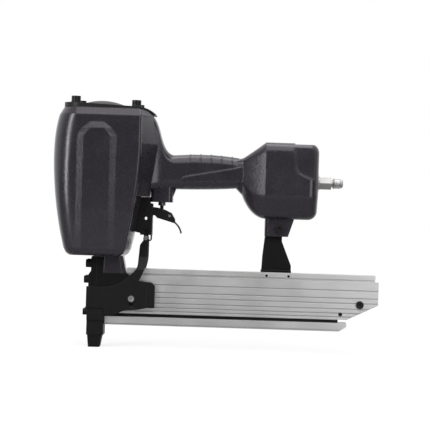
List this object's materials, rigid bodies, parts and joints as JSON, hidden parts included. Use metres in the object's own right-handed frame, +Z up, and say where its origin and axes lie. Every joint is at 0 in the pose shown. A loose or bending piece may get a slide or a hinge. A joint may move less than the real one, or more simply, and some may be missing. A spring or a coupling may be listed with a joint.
{
  "type": "pneumatic stapler",
  "caption": "Hand-held air stapler with a barrel head, pistol grip with reservoir, sprung nose contact, finger trigger and a slide-out aluminium magazine.",
  "frame": {"origin": "middle of the contact shoe's lower face, where the staple leaves", "axes": "+X to the rear along the magazine, +Y to the tool's right side, +Z up the drive axis"},
  "size_m": [0.3578, 0.0872, 0.2716],
  "materials": {
    "housing_paint": "hammered satin paint",
    "cap_black": "gloss paint",
    "black_steel": "satin black oxide",
    "black_screws": "black oxide",
    "extruded_aluminium": "clear anodised",
    "cast_aluminium": "as machined",
    "bright_steel": "ground",
    "nickel_plug": "nickel plated",
    "valve_steel": "turned, dark",
    "seal_rubber": "matte"
  },
  "bodies": {
    "body": {"housing": "housing_paint", "cylinder_sleeve": "bright_steel", "bumper": "seal_rubber", "cap_gasket": "seal_rubber", "top_cap": "cap_black", "cap_washers": "black_screws", "cap_screws": "black_screws", "end_cap": "cast_aluminium", "end_cap_seal": "seal_rubber", "end_cap_ring": "bright_steel", "air_plug": "nickel_plug", "valve_bushing": "valve_steel", "safety_guide": "black_steel", "guide_screws": "black_screws", "trigger_pin": "black_screws", "nose_front_plate": "black_steel", "nose_rear_block": "black_steel", "nose_upper_screws": "black_screws", "nose_middle_screws": "black_screws", "shoulder_screws": "bright_steel", "magazine_channel": "extruded_aluminium", "stop_screws": "black_screws", "catch_pins": "black_screws", "magazine_top_rail": "extruded_aluminium", "rear_bracket": "black_steel", "bracket_pins": "black_screws", "bracket_bolt": "black_screws", "bracket_nut": "black_screws"},
    "drive": {"piston": "cast_aluminium", "piston_ring": "seal_rubber", "driver_blade": "bright_steel", "driver_pin": "bright_steel"},
    "exhaust_valve": {"head_valve": "cast_aluminium", "head_valve_seal": "seal_rubber"},
    "contact": {"contact_shoe": "black_steel", "shoe_screws": "black_screws", "safety_yoke": "black_steel", "arm_rivet": "bright_steel", "safety_slider": "black_steel"},
    "trigger_frame": {"trigger": "black_steel", "lever_pin": "bright_steel"},
    "lever": {"trigger_lever": "black_steel"},
    "stem": {"valve_stem": "black_screws"},
    "rail": {"magazine_rail": "extruded_aluminium", "staple_core": "black_screws", "pusher_spring": "bright_steel", "spring_pin": "bright_steel"},
    "staple_pusher": {"pusher": "bright_steel"}
  },
  "joints": [
    {"name": "drive_stroke", "type": "slide", "parent": "body", "child": "drive", "axis": [0, 0, -1], "range_m": [0, 0.077]},
    {"name": "head_valve_lift", "type": "slide", "parent": "body", "child": "exhaust_valve", "axis": [0, 0, 1], "range_m": [0, 0.005], "stiffness_N_per_m": 800, "springref_m": -0.004},
    {"name": "contact_lift", "type": "slide", "parent": "body", "child": "contact", "axis": [0, 0, 1], "range_m": [0, 0.007], "stiffness_N_per_m": 800, "springref_m": -0.055},
    {"name": "trigger_pull", "type": "hinge", "parent": "body", "child": "trigger_frame", "pos_m": [0.0525, 0, 0.1519], "axis": [0, -1, 0], "range_deg": [0, 12], "stiffness_Nm_per_rad": 0.5, "springref_deg": -17.19},
    {"name": "lever_swing", "type": "hinge", "parent": "trigger_frame", "child": "lever", "pos_m": [0.0785, 0, 0.1456], "axis": [0, 1, 0], "range_deg": [0, 23]},
    {"name": "stem_press", "type": "slide", "parent": "body", "child": "stem", "axis": [0, 0, 1], "range_m": [0, 0.0031]},
    {"name": "rail_slide", "type": "slide", "parent": "body", "child": "rail", "axis": [1, 0, 0], "range_m": [0, 0.2]},
    {"name": "pusher_slide", "type": "slide", "parent": "rail", "child": "staple_pusher", "axis": [1, 0, 0], "range_m": [0, 0.2], "stiffness_N_per_m": 40, "springref_m": -0.1}
  ],
  "couplings": [
    {"joint": "lever_swing", "follows": "contact_lift", "rad_per_m": 56.1},
    {"joint": "stem_press", "follows": "trigger_pull", "m_per_rad": 0.014324}
  ]
}
